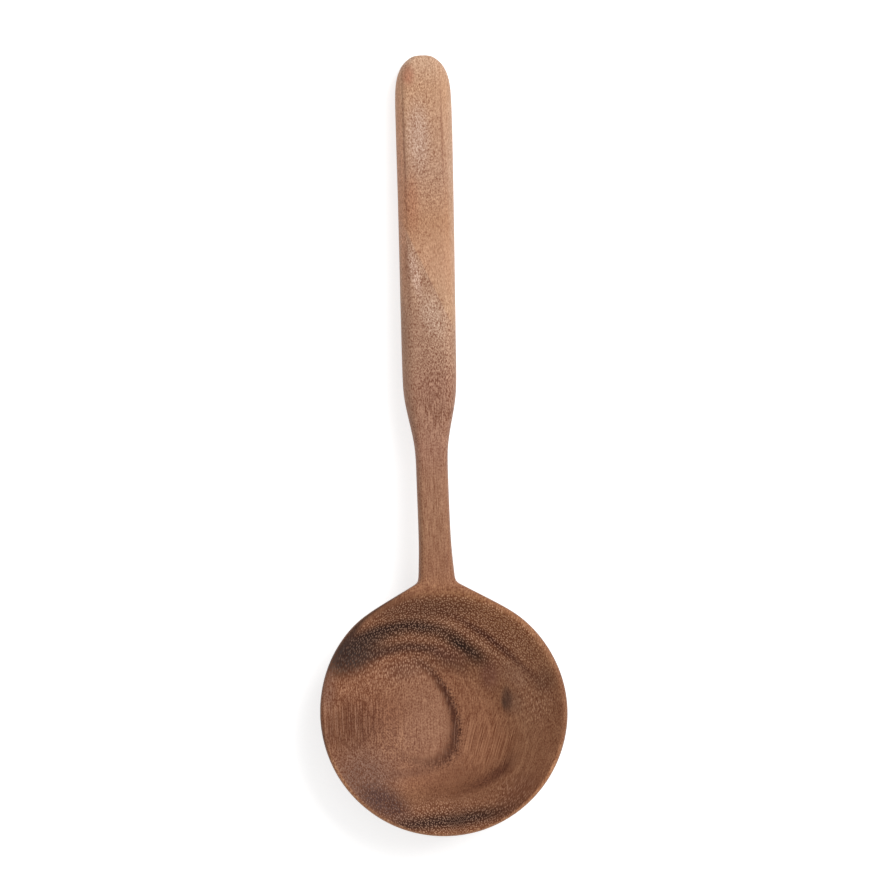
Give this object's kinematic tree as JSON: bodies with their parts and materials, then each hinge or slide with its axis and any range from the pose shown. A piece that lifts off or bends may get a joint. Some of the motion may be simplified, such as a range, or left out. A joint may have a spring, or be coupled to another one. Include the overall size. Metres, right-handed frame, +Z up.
{
  "type": "wooden serving spoon",
  "caption": "Round-bowled wooden spoon carved in one piece, with a slim neck and a flat grip with rounded edges, for stirring and serving.",
  "frame": {"origin": "on the table that the spoon rests on, under the middle of its length and of the bowl's width", "axes": "+Y from the bowl's tip to the end of the grip, +Z up, the way the bowl opens"},
  "size_m": [0.0806, 0.2549, 0.0228],
  "materials": {
    "oiled_wood": "satin oiled wood with open grain"
  },
  "bodies": {
    "root": {"spoon": "oiled_wood"}
  },
  "joints": []
}
